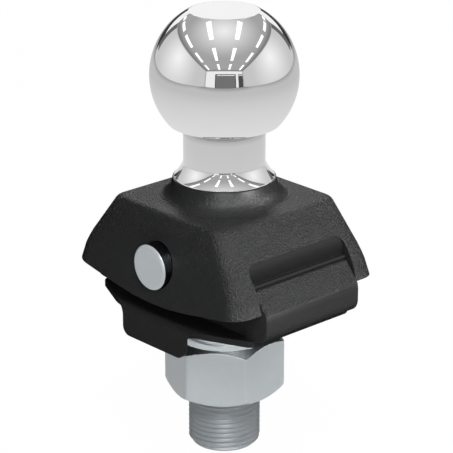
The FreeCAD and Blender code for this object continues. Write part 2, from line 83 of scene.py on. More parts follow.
# Sizes shared with the CAD model, in millimetres
FIT = 0.05  # gap round a piece in its hole
BALL_R = 25.4
BALL_Z = 81.7
BALL_TOP_R = 12.05
BALL_TOP_Z = 104.06
NECK_R = 14.1
NECK_FOOT_Z = 51.56
FOOT_Z = 45.5
STUD_R = 10.0
STUD_END_Z = 29.8
PIVOT_Z = 20.8
PIN_R = 8.0
ROOF_Z = 38.6
CHANNEL_HALF_WIDTH = 22.3
CHANNEL_TOP_Z = 34.8
LIP_OUTER = (34.51, 27.9)
LIP_INNER = (29.66, 24.36)
SHELF_Z = 8.3
LUG_HALF_WIDTH = 21.7
LUG_INNER_X = 34.2
SLAB_RAISED_X = 15.8
SLAB_RAISED_Z = 12.2
EAR_R = 13.55
EAR_INNER_Y = 14.8
EAR_HALF_WIDTH = 21.0
BUSH_SEAT_R = 9.6
CUSHION_HALF_WIDTH = 22.0
SHEET = 2.2
BEND_R = 1.5
PLATE_HALF_LENGTH = 38.5
PLATE_END_HALF_WIDTH = 22.8
TAB_HALF_LENGTH = 15.65
TAB_OUTER_Y = 33.4
TAB_DROP = 8.6
SCREW_X = 26.0
SCREW_R = 2.55
SCREW_HEAD_R = 4.65
SHANK_R = 12.7
HEAD_R = 14.6
HEAD_TOP_Z = 12.0
COLLAR_R = 13.2
COLLAR_TOP_Z = 7.0
RELIEF_R = 11.4
THREAD_R = 12.65
THREAD_TOP_Z = -11.3
SHANK_END_Z = -54.0
NUT_BORE_R = 12.75
NUT_FACE_R = 17.6
NUT_ACROSS_FLATS = 37.2
NUT_LOW_Z = -33.7
NUT_HIGH_Z = -12.6
NUT_TURN_DEG = 8.6  # turned about the shank as in the photo
FLOOR_Z = -79.0  # just below the nut's lowest place

# Places of cutting tools' faces, clear of the part, in millimetres
PAST = 60
BELOW = -5

# Turns a piece that is modelled about Z so that it lies about Y
ABOUT_Y = Matrix.Rotation(math.radians(-90), 3, "X")


def to_linear(code):
    """Linear colour of an sRGB hex code."""
    parts = [int(code[i:i + 2], 16) / 255 for i in (1, 3, 5)]
    return tuple(c / 12.92 if c <= 0.04045 else ((c + 0.055) / 1.055) ** 2.4 for c in parts)


def colour(name, description, code):
    """Colour property with the value of an sRGB hex code."""
    return bpy.props.FloatVectorProperty(name=name, description=description, subtype="COLOR",
                                         size=3, min=0, max=1, default=to_linear(code))


def length(name, description, millimetres):
    """Length property, given in millimetres."""
    return bpy.props.FloatProperty(name=name, description=description, subtype="DISTANCE",
                                   unit="LENGTH", min=0, default=millimetres * MM)


class TowBallSizes(bpy.types.PropertyGroup):
    """Sizes of the details that the CAD model leaves plain."""

    casting_round: length("Casting edge", "Rounding of the castings' outer edges", 1.1)
    roof_round: length("Roof edge", "Rounding round the roof of the housing", 1.8)
    lug_round: length("Lug edge", "Rounding round the lugs of the base casting", 1.7)
    sheet_round: length("Sheet edge", "Rounding of the seat plate's edges", 0.5)
    rubber_round: length("Rubber edge", "Rounding of the cushions' moulded edges", 0.4)
    turned_round: length("Turned edge", "Rounding of the edges of turned and plated pieces", 0.35)
    nut_round: length("Nut corner", "Rounding of the nut's upright corners", 0.7)
    thread_pitch: length("Thread pitch", "Distance between two thread crests", 1.814)
    thread_depth: length("Thread depth", "Depth of the thread groove", 0.95)
    cast_grain: length("Cast grain", "Size of the grain that shows through the coat, drawn "
                       "coarser than real so that it shows at the photo's size", 0.7)
    cast_relief: length("Cast relief", "Height of the grain, drawn stronger than real so that "
                        "it shows at the photo's size", 1.0)


class TowBallColours(bpy.types.PropertyGroup):
    """Colours of the finishes and of the surroundings."""

    chrome: colour("Chrome", "Chrome plate of the ball", "#F0F0F1")
    coat: colour("Powder coat", "Powder coat of the castings", "#232323")
    sheet: colour("Plate coat", "Powder coat of the seat plate", "#212121")
    rubber: colour("Rubber", "Moulded rubber of the cushions", "#1D1D1D")
    zinc: colour("Zinc", "Zinc plate of the nut, pin and screws", "#A8ADAF")
    # Dark colour of the pin's side: a painted reflection of the black cheeks round it
    oiled: colour("Oiled steel", "Side of the pin, in the cheeks", "#55565A")
    shank: colour("Shank", "Zinc plate of the threaded shank", "#808487")
    # Painted light: much lighter than the shank's zinc, so that the neck and the thread's top
    # turns look lit under the seat plate
    neck: colour("Neck", "Turned neck and top turns of the shank", "#D6DADC")
    bronze: colour("Bronze", "Bearing bronze of the bushes", "#B08A55")
    floor: colour("Floor", "Floor that the part stands on", "#F4F4F4")


# Mesh building

def vector(x, y, z):
    """Point given in millimetres."""
    return Vector((x, y, z)) * MM


def drawn(bm, start, moves):
    """Chain of edges in the XZ plane: a move is (x, z), or (x, z, degrees, steps) for an arc."""
    last = bm.verts.new(vector(start[0], 0, start[1]))
    first = last
    for move in moves:
        if len(move) == 2:
            following = bm.verts.new(vector(move[0], 0, move[1]))
            bm.edges.new((last, following))
        else:
            centre_x, centre_z, degrees, steps = move
            made = bmesh.ops.spin(bm, geom=[last], cent=vector(centre_x, 0, centre_z),
                                  axis=(0, -1, 0), angle=math.radians(degrees), steps=steps)
            following = [v for v in made["geom_last"] if isinstance(v, bmesh.types.BMVert)][0]
        last = following
    return first, last


def turned(start, moves, steps=128):
    """Mesh spun about Z from a drawn outline."""
    bm = bmesh.new()
    drawn(bm, start, moves)
    bmesh.ops.spin(bm, geom=bm.verts[:] + bm.edges[:], cent=(0, 0, 0), axis=(0, 0, 1),
                   angle=math.tau, steps=steps, use_merge=True)
    bmesh.ops.remove_doubles(bm, verts=bm.verts, dist=NEAR)
    return bm


def prism(start, moves, low_y, high_y):
    """Mesh extruded along Y from a drawn outline that closes on itself."""
    bm = bmesh.new()
    first, last = drawn(bm, start, moves)
    bm.edges.new((last, first))
    bmesh.ops.translate(bm, verts=bm.verts, vec=vector(0, low_y, 0))
    face = bmesh.ops.contextual_create(bm, geom=bm.edges[:])["faces"]
    raised = bmesh.ops.extrude_face_region(bm, geom=face)["geom"]
    moved = [v for v in raised if isinstance(v, bmesh.types.BMVert)]
    bmesh.ops.translate(bm, verts=moved, vec=vector(0, high_y - low_y, 0))
    return bm


def block(low, high):
    """Box between two corners, in millimetres."""
    bm = bmesh.new()
    size = [b - a for a, b in zip(low, high)]
    middle = [(a + b) / 2 for a, b in zip(low, high)]
    shape = Matrix.Translation(vector(*middle)) @ Matrix.Diagonal([s * MM for s in size] + [1])
    bmesh.ops.create_cube(bm, size=1, matrix=shape)
    return bm


def section(bm, half_x, half_y, radius, z, steps=8):
    """Level rectangle with round corners; returns its face."""
    signs = [(1, 1), (-1, 1), (-1, -1), (1, -1)]
    corners = [bm.verts.new(vector(sx * half_x, sy * half_y, z)) for sx, sy in signs]
    bm.faces.new(corners)
    bmesh.ops.bevel(bm, geom=corners, offset=radius * MM, offset_type="OFFSET",
                    segments=steps, profile=0.5, affect="VERTICES", clamp_overlap=False,
                    material=-1)
    return [f for f in bm.faces if all(abs(v.co.z - z * MM) < NEAR for v in f.verts)][0]


def lofted(stages):
    """Closed mesh ruled between level sections (half x, half y, radius, z)."""
    bm = bmesh.new()
    loops = []
    for index, stage in enumerate(stages):
        face = section(bm, *stage)
        loops.append(face.edges[:])
        if 0 < index < len(stages) - 1:
            bmesh.ops.delete(bm, geom=[face], context="FACES_ONLY")
    for lower, upper in zip(loops, loops[1:]):
        bmesh.ops.bridge_loops(bm, edges=lower + upper)
    return bm


def placed(bm, turn=None, shift=(0, 0, 0)):
    """The mesh turned about the origin and shifted by millimetres."""
    if turn is not None:
        bmesh.ops.rotate(bm, verts=bm.verts, cent=(0, 0, 0), matrix=turn)
    bmesh.ops.translate(bm, verts=bm.verts, vec=vector(*shift))
    return bm


def pivot_cylinder(radius, half_length, steps=96):
    """Cylinder about the pivot axis."""
    bm = turned((0, -half_length), [(radius, -half_length), (radius, half_length),
                                    (0, half_length)], steps)
    return placed(bm, ABOUT_Y, (0, 0, PIVOT_Z))


def upright_cylinder(radius, low_z, high_z, x=0, steps=64):
    """Cylinder about a line parallel to Z."""
    bm = turned((0, low_z), [(radius, low_z), (radius, high_z), (0, high_z)], steps)
    return placed(bm, shift=(x, 0, 0))


def screwed(bm, start, moves, pitch, low_z, high_z, steps=60):
    """Sweeps one drawn thread form up a helix and trims it level at both ends."""
    drawn(bm, start, moves)
    turns = math.ceil((high_z - low_z) / pitch) + 2
    bmesh.ops.spin(bm, geom=bm.verts[:] + bm.edges[:], cent=(0, 0, 0), axis=(0, 0, 1),
                   dvec=(0, 0, pitch * MM / steps), angle=math.tau * turns,
                   steps=turns * steps)
    bmesh.ops.remove_doubles(bm, verts=bm.verts, dist=0.005 * MM)
    for z, normal in ((low_z, (0, 0, -1)), (high_z, (0, 0, 1))):
        bmesh.ops.bisect_plane(bm, geom=bm.verts[:] + bm.edges[:] + bm.faces[:],
                               plane_co=vector(0, 0, z), plane_no=normal, clear_outer=True)


def midpoint(edge):
    """Middle of an edge, in millimetres."""
    return (edge.verts[0].co + edge.verts[1].co) / 2 / MM


def rounded(bm, edges, radius, steps=3):
    """Rounds those edges by a radius in metres."""
    bmesh.ops.bevel(bm, geom=edges, offset=radius, offset_type="OFFSET", segments=steps,
                    profile=0.5, affect="EDGES", clamp_overlap=True, material=-1)


def as_object(name, bm):
    """New object with this mesh, its normals facing out."""
    bmesh.ops.recalc_face_normals(bm, faces=bm.faces)
    mesh = bpy.data.meshes.new(name)
    bm.to_mesh(mesh)
    bm.free()
    obj = bpy.data.objects.new(name, mesh)
    bpy.context.scene.collection.objects.link(obj)
    return obj


def applied(obj):
    """Makes the mesh that the object's modifiers show its own."""
    depsgraph = bpy.context.evaluated_depsgraph_get()
    result = bpy.data.meshes.new_from_object(obj.evaluated_get(depsgraph))
    obj.modifiers.clear()
    old, obj.data = obj.data, result
    bpy.data.meshes.remove(old)


def combined(obj, bm, operation):
    """Cuts a mesh out of the object, or joins it on."""
    tool = as_object(obj.name + "_tool", bm)
    modifier = obj.modifiers.new("Combine", "BOOLEAN")
    modifier.solver = "EXACT"
    modifier.operation = operation
    modifier.object = tool
    applied(obj)
    bpy.data.meshes.remove(tool.data)


def cleaned(obj):
    """Merges what the combining left double and joins flat neighbours."""
    bm = bmesh.new()
    bm.from_mesh(obj.data)
    bmesh.ops.remove_doubles(bm, verts=bm.verts, dist=0.01 * MM)
    bmesh.ops.dissolve_limit(bm, angle_limit=math.radians(0.6), verts=bm.verts, edges=bm.edges)
    bmesh.ops.recalc_face_normals(bm, faces=bm.faces)
    bm.to_mesh(obj.data)
    bm.free()


def softened(obj, width, steps=3, over=35):
    """Rounds every edge sharper than an angle and shades the piece smooth."""
    bevel = obj.modifiers.new("Edges", "BEVEL")
    bevel.width = width
    bevel.segments = steps
    bevel.limit_method = "ANGLE"
    bevel.angle_limit = math.radians(over)
    bevel.harden_normals = True
    smooth(obj, over)


def smooth(obj, over=35):
    """Smooth shading, broken at edges sharper than an angle."""
    obj.data.shade_smooth()
    obj.data.set_sharp_from_angle(angle=math.radians(over))


def settled(obj, body, slot, *nodes):
    """Hands a finished piece to its body and hides its CAD nodes. The slot is not used."""
    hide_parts(*nodes)
    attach(obj, body)


# Materials

def add(tree, kind, inputs=None, **settings):
    """New node with its settings, and inputs that are values or other sockets."""
    made = tree.nodes.new(kind)
    for key, value in settings.items():
        setattr(made, key, value)
    for key, value in (inputs or {}).items():
        if isinstance(value, bpy.types.NodeSocket):
            tree.links.new(value, made.inputs[key])
        else:
            made.inputs[key].default_value = value
    return made


def shader(name):
    """New material with a principled shader; returns both."""
    material = bpy.data.materials.new(name)
    material.use_nodes = True
    return material, material.node_tree.nodes["Principled BSDF"]


def put_on(obj, material):
    """Gives the object this one material."""
    if obj.material_slots:
        for material_slot in obj.material_slots:
            material_slot.material = material
    else:
        obj.data.materials.append(material)


def put_by_face(obj, materials, place):
    """Gives each face the material whose place in the list the function returns."""
    obj.data.materials.clear()
    for material in materials:
        obj.data.materials.append(material)
    for face in obj.data.polygons:
        face.material_index = int(place(face))


def between(tree, value, low, high):
    """Output that runs from low to high as a 0 to 1 value does."""
    made = add(tree, "ShaderNodeMapRange", {"Value": value, "To Min": low, "To Max": high})
    return made.outputs["Result"]


def tinted(tree, value, rgb, share):
    """Colour that darkens and lightens by a share round rgb with a 0 to 1 value."""
    ramp = add(tree, "ShaderNodeValToRGB", {"Fac": value})
    for element, factor in zip(ramp.color_ramp.elements, (1 - share, 1 + share)):
        element.color = [min(1, c * factor) for c in rgb] + [1]
    return ramp.outputs["Color"]


def chrome_material(colours):
    """Chrome plate: a near mirror whose polish varies a little in soft patches. The neck is
    dulled and the corner under the ball darker still, as painted shade under the ball."""
    material, principled = shader("Chrome plate")
    tree = material.node_tree
    place = add(tree, "ShaderNodeTexCoord").outputs["Object"]
    patches = add(tree, "ShaderNodeTexNoise", {"Vector": place, "Scale": 1 / (14 * MM),
                                               "Detail": 3}).outputs["Fac"]
    height = add(tree, "ShaderNodeSeparateXYZ", {"Vector": place}).outputs["Z"]
    low, high = 50.6, 65.1  # millimetres, from under the neck to over the corner
    part = add(tree, "ShaderNodeMapRange", {"Value": height, "From Min": low * MM,
                                            "From Max": high * MM}).outputs["Result"]
    # Painted shade: this ramp darkens the chrome by height, a little over the neck and most in
    # the corner under the ball
    plate = add(tree, "ShaderNodeValToRGB", {"Fac": part})
    plate.color_ramp.elements[0].color = (1, 1, 1, 1)
    painted_shade_levels = ((51.4, 0.85), (60.2, 0.85), (62.9, 0.56), (64.95, 0.5))
    for z, level in painted_shade_levels:
        element = plate.color_ramp.elements.new((z - low) / (high - low))
        element.color = (level, level, level, 1)
    base = add(tree, "ShaderNodeMix", {6: tinted(tree, patches, colours.chrome, 0.02),
                                       7: plate.outputs["Color"], 0: 1.0},
               data_type="RGBA", blend_type="MULTIPLY")
    principled.inputs["Metallic"].default_value = 1
    tree.links.new(base.outputs[2], principled.inputs["Base Color"])
    tree.links.new(between(tree, patches, 0.02, 0.05), principled.inputs["Roughness"])
    return material


def coat_material(name, rgb, grain, relief, roughness, specular=0.26, steep_relief=1,
                  turned_z=1):
    """Powder coat: dark, half matt, with the grain of the casting showing through. The grain
    is fainter on steep faces, and above the height from which the piece is turned."""
    material, principled = shader(name)
    tree = material.node_tree
    coordinates = add(tree, "ShaderNodeTexCoord").outputs
    place = coordinates["Object"]
    coarse = add(tree, "ShaderNodeTexNoise", {"Vector": place, "Scale": 1 / grain, "Detail": 2,
                                              "Roughness": 0.5}).outputs["Fac"]
    fine = add(tree, "ShaderNodeTexNoise", {"Vector": place, "Scale": 3 / grain,
                                            "Detail": 3}).outputs["Fac"]
    facing = add(tree, "ShaderNodeSeparateXYZ", {"Vector": coordinates["Normal"]})
    steep = add(tree, "ShaderNodeMapRange", {"Value": facing.outputs["Z"], "From Min": 0.21,
                                             "From Max": 0.35, "To Min": steep_relief})
    height = add(tree, "ShaderNodeSeparateXYZ", {"Vector": place})
    turned_part = add(tree, "ShaderNodeMapRange", {"Value": height.outputs["Z"],
                                                   "From Min": turned_z,
                                                   "From Max": turned_z + MM,
                                                   "To Min": 1, "To Max": 0.3})
    strength = add(tree, "ShaderNodeMath", {0: steep.outputs["Result"],
                                            1: turned_part.outputs["Result"]},
                   operation="MULTIPLY").outputs["Value"]
    low = add(tree, "ShaderNodeBump", {"Height": coarse, "Distance": relief,
                                       "Strength": strength})
    high = add(tree, "ShaderNodeBump", {"Height": fine, "Distance": relief / 4,
                                        "Strength": strength,
                                        "Normal": low.outputs["Normal"]})
    principled.inputs["Specular IOR Level"].default_value = specular
    tree.links.new(tinted(tree, coarse, rgb, 0.5), principled.inputs["Base Color"])
    tree.links.new(between(tree, fine, roughness - 0.08, roughness + 0.08),
                   principled.inputs["Roughness"])
    tree.links.new(high.outputs["Normal"], principled.inputs["Normal"])
    return material


def plated_material(name, rgb, roughness, mottle, metallic=0.6):
    """Zinc plate: a satin metal with cloudy patches and a very fine grain."""
    material, principled = shader(name)
    tree = material.node_tree
    place = add(tree, "ShaderNodeTexCoord").outputs["Object"]
    clouds = add(tree, "ShaderNodeTexNoise", {"Vector": place, "Scale": 1 / (3 * MM),
                                              "Detail": 6, "Roughness": 0.7}).outputs["Fac"]
    grain = add(tree, "ShaderNodeTexNoise", {"Vector": place, "Scale": 1 / (0.35 * MM),
                                             "Detail": 2}).outputs["Fac"]
    bump = add(tree, "ShaderNodeBump", {"Height": grain, "Strength": 0.5,
                                        "Distance": 0.02 * MM})
    principled.inputs["Metallic"].default_value = metallic
    tree.links.new(tinted(tree, clouds, rgb, mottle), principled.inputs["Base Color"])
    tree.links.new(between(tree, clouds, roughness - 0.05, roughness + 0.07),
                   principled.inputs["Roughness"])
    tree.links.new(bump.outputs["Normal"], principled.inputs["Normal"])
    return material


# Pieces

class TOWBALL_OT_ball(bpy.types.Operator):
    """Chromed ball with its neck, flange and stud"""

    bl_idname = "towball.ball"
    bl_label = "Ball"

    def execute(self, context):
        sizes = context.scene.towball_sizes
        shoulder_r = 19.17
        top_deg = math.degrees(math.asin(BALL_TOP_R / BALL_R))
        shoulder_deg = math.degrees(math.acos(shoulder_r / BALL_R))
        ball = [(BALL_TOP_R, BALL_TOP_Z), (0, BALL_Z, top_deg - 90 - shoulder_deg, 56)]
        neck = [(shoulder_r, 59.97, 90, 14), (NECK_R, NECK_FOOT_Z)]
        flare = [(16.8, NECK_FOOT_Z, 22.03, 6), (27.09, 55.726, 23.37, 14), (17.4, FOOT_Z)]
        stud = [(STUD_R, FOOT_Z), (STUD_R, STUD_END_Z), (0, STUD_END_Z)]
        bm = turned((0, BALL_TOP_Z), ball + neck + flare + stud, 160)
        obj = as_object("ball", bm)
        softened(obj, sizes.turned_round, 3, 20)
        put_on(obj, chrome_material(context.scene.towball_colours))
        settled(obj, "rocker", "chrome", "tow_ball")
        return {"FINISHED"}


class TOWBALL_OT_housing(bpy.types.Operator):
    """Cast rocker housing: drafted shell, pedestal, channel and end openings"""

    bl_idname = "towball.housing"
    bl_label = "Rocker housing"

    def execute(self, context):
        sizes = context.scene.towball_sizes
        colours = context.scene.towball_colours
        # Cheeks and ends lean in, more so over the knuckle that runs round the shell
        shell = lofted([(44.462, 34.56, 8.0, 5.5), (40.9, 31.92, 6.78, 18.1),
                        (39.57, 31.37, 6.45, 20.7), (37.87, 30.82, 6.05, 23.3),
                        (26.7, 27.6, 4.6, ROOF_Z)])
        roof = [e for e in shell.edges if all(v.co.z > (ROOF_Z - 0.01) * MM for v in e.verts)]
        rounded(shell, roof, sizes.roof_round, 4)
        obj = as_object("housing", shell)
        for shape, operation in ((self.under_cheeks(), "DIFFERENCE"),
                                 (self.pedestal(), "UNION"),
                                 (self.channel(), "DIFFERENCE"),
                                 (self.opening(1), "DIFFERENCE"),
                                 (self.opening(-1), "DIFFERENCE"),
                                 (pivot_cylinder(PIN_R + 0.2, PAST), "DIFFERENCE"),
                                 (upright_cylinder(STUD_R + FIT, 20, 50), "DIFFERENCE")):
            combined(obj, shape, operation)
        cleaned(obj)
        softened(obj, sizes.casting_round, 3, 38)
        # The grain shows on the roof, the cheeks and ends are smoother, the pedestal is turned
        put_on(obj, coat_material("Powder coat on cast iron", colours.coat, sizes.cast_grain,
                                  sizes.cast_relief, roughness=0.34, specular=0.4,
                                  steep_relief=0.1, turned_z=38.2 * MM))
        settled(obj, "rocker", "black_coat", "rocker_housing")
        return {"FINISHED"}

    def under_cheeks(self):
        """What lies under the cheeks' lower edges, which rise to both ends."""
        bend_x, bend_z, rise = 18, 9.1, 0.155
        end_z = bend_z + rise * (PAST - bend_x)
        return prism((bend_x, bend_z), [(PAST, end_z), (PAST, BELOW), (-PAST, BELOW),
                                        (-PAST, end_z), (-bend_x, bend_z), (-9, 8.05),
                                        (0, 7.7), (9, 8.05)], -PAST, PAST)

    def pedestal(self):
        """Round seat of the ball's foot, blended into the roof."""
        return turned((0, 36), [(25.2, 36), (25.2, 38.45), (22.2, 39.0), (20.3, 40.1),
                                (19.1, 41.3), (18.5, 42.4), (17.8, FOOT_Z), (0, FOOT_Z)], 128)

    def channel(self):
        """Hollow for the base casting and the cushions."""
        inner_x, inner_z = LIP_INNER
        top_x = inner_x - (CHANNEL_TOP_Z - inner_z) * 0.73
        return prism((top_x, CHANNEL_TOP_Z), [(inner_x, inner_z), (inner_x, BELOW),
                                              (-inner_x, BELOW), (-inner_x, inner_z),
                                              (-top_x, CHANNEL_TOP_Z)],
                     -CHANNEL_HALF_WIDTH, CHANNEL_HALF_WIDTH)

    def opening(self, side):
        """Opening of one end, with round upper corners."""
        inner_x, inner_z = LIP_INNER
        top_z = LIP_OUTER[1]
        tunnel = block((0, -CHANNEL_HALF_WIDTH, -30), (PAST, CHANNEL_HALF_WIDTH, top_z))
        upper = [e for e in tunnel.edges
                 if 1 < midpoint(e).x < PAST - 1 and midpoint(e).z > 0]
        corner_r = 3.5
        rounded(tunnel, upper, corner_r * MM, 6)
        wedge = prism((inner_x, BELOW), [(inner_x, inner_z), LIP_OUTER, (PAST, top_z),
                                         (PAST, BELOW)],
                      -CHANNEL_HALF_WIDTH, CHANNEL_HALF_WIDTH)
        tool = as_object("opening", tunnel)
        combined(tool, wedge, "INTERSECT")
        cutter = bmesh.new()
        cutter.from_mesh(tool.data)
        bpy.data.meshes.remove(tool.data)
        bmesh.ops.scale(cutter, vec=(side, 1, 1), verts=cutter.verts)
        return cutter


class TOWBALL_OT_pin(bpy.types.Operator):
    """Pivot pin with rounded rims"""

    bl_idname = "towball.pin"
    bl_label = "Pivot pin"

    def execute(self, context):
        sizes = context.scene.towball_sizes
        colours = context.scene.towball_colours
        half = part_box("pivot_pin")[1][1] / MM
        face_r, rim = 7.2, 0.55
        bm = turned((0, -half), [(face_r, -half), (PIN_R, rim - half), (PIN_R, half - rim),
                                 (face_r, half), (0, half)], 128)
        obj = as_object("pin", placed(bm, ABOUT_Y, (0, 0, PIVOT_Z)))
        softened(obj, sizes.turned_round, 3, 20)
        applied(obj)
        ends = plated_material("Zinc plate on the pin's ends", colours.zinc, roughness=0.34,
                               mottle=0.06, metallic=0.4)
        # Darker than the ends: the side's mirror finish is real, and its dark colour is a painted
        # reflection of the black cheeks round it
        side = plated_material("Oiled steel side of the pin", colours.oiled, roughness=0.2,
                               mottle=0.1, metallic=1)
        put_by_face(obj, (ends, side), lambda face: abs(face.normal.y) < 0.3)
        settled(obj, "rocker", "zinc", "pivot_pin")
        return {"FINISHED"}


class TOWBALL_OT_base(bpy.types.Operator):
    """Base casting: slab, lugs at both ends and the two ears"""

    bl_idname = "towball.base"
    bl_label = "Base casting"

    def execute(self, context):
        sizes = context.scene.towball_sizes
        colours = context.scene.towball_colours
        # Lug: upright inside, sloped outside, with a large round under it
        lug = [(LUG_INNER_X, SHELF_Z), (LUG_INNER_X, 19.9), (38.3, 19.9), (43.9, 13.0),
               (44.2, 10.8), (44.2, 6.6), (39.8, 6.6, -90, 6)]
        far_lug = [(-39.8, SHEET), (-39.8, 6.6, -90, 6), (-44.2, 10.8), (-43.9, 13.0),
                   (-38.3, 19.9), (-LUG_INNER_X, 19.9), (-LUG_INNER_X, SHELF_Z)]
        raised = [(-SLAB_RAISED_X, SHELF_Z), (-SLAB_RAISED_X, SLAB_RAISED_Z)]
        outline = prism((SLAB_RAISED_X, SLAB_RAISED_Z),
                        [(SLAB_RAISED_X, SHELF_Z)] + lug + far_lug + raised,
                        -LUG_HALF_WIDTH, LUG_HALF_WIDTH)
        rims = [e for e in outline.edges if abs(midpoint(e).x) > LUG_INNER_X + 0.1
                and midpoint(e).z > SHEET + 0.05]
        rounded(outline, rims, sizes.lug_round, 4)
        obj = as_object("base_casting", outline)
        for side in (1, -1):
            low, high = sorted((side * EAR_HALF_WIDTH, side * PAST))
            combined(obj, block((-LUG_INNER_X, low, BELOW), (LUG_INNER_X, high, PAST)),
                     "DIFFERENCE")
            low, high = sorted((side * EAR_INNER_Y, side * EAR_HALF_WIDTH))
            ear = turned((0, low), [(EAR_R, low), (EAR_R, high), (0, high)], 96)
            combined(obj, placed(ear, ABOUT_Y, (0, 0, PIVOT_Z)), "UNION")
            combined(obj, block((-EAR_R, low, SHELF_Z), (EAR_R, high, PIVOT_Z)), "UNION")
            combined(obj, upright_cylinder(SCREW_R, 0, 7.2, side * SCREW_X), "DIFFERENCE")
        combined(obj, upright_cylinder(COLLAR_R + FIT, 0, COLLAR_TOP_Z + 0.1), "DIFFERENCE")
        combined(obj, upright_cylinder(HEAD_R + FIT, COLLAR_TOP_Z, SLAB_RAISED_Z + 0.4),
                 "DIFFERENCE")
        combined(obj, pivot_cylinder(BUSH_SEAT_R, PAST), "DIFFERENCE")
        cleaned(obj)
        softened(obj, sizes.casting_round, 3, 38)
        put_on(obj, coat_material("Powder coat on the base casting", colours.coat,
                                  sizes.cast_grain, sizes.cast_relief, roughness=0.34,
                                  specular=0.4, steep_relief=0.1))
        settled(obj, "base", "black_coat", "base_block")
        return {"FINISHED"}


class TOWBALL_OT_cushions(bpy.types.Operator):
    """Two moulded rubber blocks between the base casting and the housing"""

    bl_idname = "towball.cushions"
    bl_label = "Cushions"

    def execute(self, context):
        sizes = context.scene.towball_sizes
        colours = context.scene.towball_colours
        rubber = coat_material("Moulded rubber", colours.rubber, grain=0.6 * MM,
                               relief=0.008 * MM, roughness=0.55, specular=0.14)
        for side, node in ((1, "cushion_front"), (-1, "cushion_rear")):
            # From the shelf up behind the lug, with a flange over it and a bulged outer face
            bm = prism((16.6, SHELF_Z), [(33.9, SHELF_Z), (33.9, 20.2), (37.8, 20.25),
                                         (37.95, 20.75), (37.3, 21.5), (36.2, 21.55),
                                         (28.406, 22.627, 50.4, 6), (33.71, 27.13),
                                         (29.55, 24.1), (22.0, 34.5), (16.6, 34.5)],
                       -CUSHION_HALF_WIDTH, CUSHION_HALF_WIDTH)
            bmesh.ops.scale(bm, vec=(side, 1, 1), verts=bm.verts)
            obj = as_object(node + "_rubber", bm)
            softened(obj, sizes.rubber_round, 4, 25)
            put_on(obj, rubber)
            settled(obj, "base", "rubber", node)
            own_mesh(obj)
        return {"FINISHED"}


class TOWBALL_OT_plate(bpy.types.Operator):
    """Seat plate: tapered sheet with a tab bent down each side"""

    bl_idname = "towball.plate"
    bl_label = "Seat plate"

    def execute(self, context):
        sizes = context.scene.towball_sizes
        colours = context.scene.towball_colours
        bm = bmesh.new()
        root_y = TAB_OUTER_Y - SHEET - BEND_R
        taper = (PLATE_HALF_LENGTH - TAB_HALF_LENGTH) / (TAB_OUTER_Y - PLATE_END_HALF_WIDTH)
        root_x = TAB_HALF_LENGTH + (TAB_OUTER_Y - root_y) * taper
        end_x, end_y = PLATE_HALF_LENGTH, PLATE_END_HALF_WIDTH
        corners = [(end_x, -end_y), (root_x, -root_y), (-root_x, -root_y), (-end_x, -end_y),
                   (-end_x, end_y), (-root_x, root_y), (root_x, root_y), (end_x, end_y)]
        bm.faces.new([bm.verts.new(vector(x, y, SHEET)) for x, y in corners])
        for side in (1, -1):
            edge = [e for e in bm.edges if all(abs(v.co.y - side * root_y * MM) < NEAR
                                               for v in e.verts)]
            bent = bmesh.ops.spin(bm, geom=edge, cent=vector(0, side * root_y, -BEND_R),
                                  axis=(-side, 0, 0), angle=math.radians(90), steps=8)
            rim = [e for e in bent["geom_last"] if isinstance(e, bmesh.types.BMEdge)]
            lower = bmesh.ops.extrude_edge_only(bm, edges=rim)["geom"]
            lowest = [v for v in lower if isinstance(v, bmesh.types.BMVert)]
            bmesh.ops.translate(bm, verts=lowest, vec=vector(0, 0, BEND_R - TAB_DROP))
        for v in bm.verts:
            reach = TAB_HALF_LENGTH * MM + (TAB_OUTER_Y * MM - abs(v.co.y)) * taper
            if abs(v.co.y) > root_y * MM:
                v.co.x = math.copysign(min(abs(v.co.x), reach), v.co.x)
        tips = [v for v in bm.verts if v.co.z < (0.5 - TAB_DROP) * MM]
        ends = [v for v in bm.verts if abs(v.co.x) > (end_x - 0.5) * MM]
        tip_r, end_r = 3.2, 2.0
        for spots, radius in ((tips, tip_r), (ends, end_r)):
            bmesh.ops.bevel(bm, geom=spots, offset=radius * MM, segments=6, profile=0.5,
                            affect="VERTICES", clamp_overlap=False, material=-1)
        obj = as_object("seat_plate_sheet", bm)
        thick = obj.modifiers.new("Sheet", "SOLIDIFY")
        thick.thickness = SHEET * MM
        thick.offset = -1
        thick.use_even_offset = True
        applied(obj)
        combined(obj, upright_cylinder(COLLAR_R + FIT, -1, 3), "DIFFERENCE")
        for x in (SCREW_X, -SCREW_X):
            sink = turned((0, -0.01), [(SCREW_HEAD_R, -0.01), (SCREW_R, 2.0), (SCREW_R, 3),
                                       (0, 3)], 48)
            combined(obj, placed(sink, shift=(x, 0, 0)), "DIFFERENCE")
        cleaned(obj)
        softened(obj, sizes.sheet_round, 3, 38)
        put_on(obj, coat_material("Powder coat on sheet steel", colours.sheet, grain=0.9 * MM,
                                  relief=0.02 * MM, roughness=0.4, specular=0.18))
        settled(obj, "base", "black_sheet", "seat_plate")
        return {"FINISHED"}


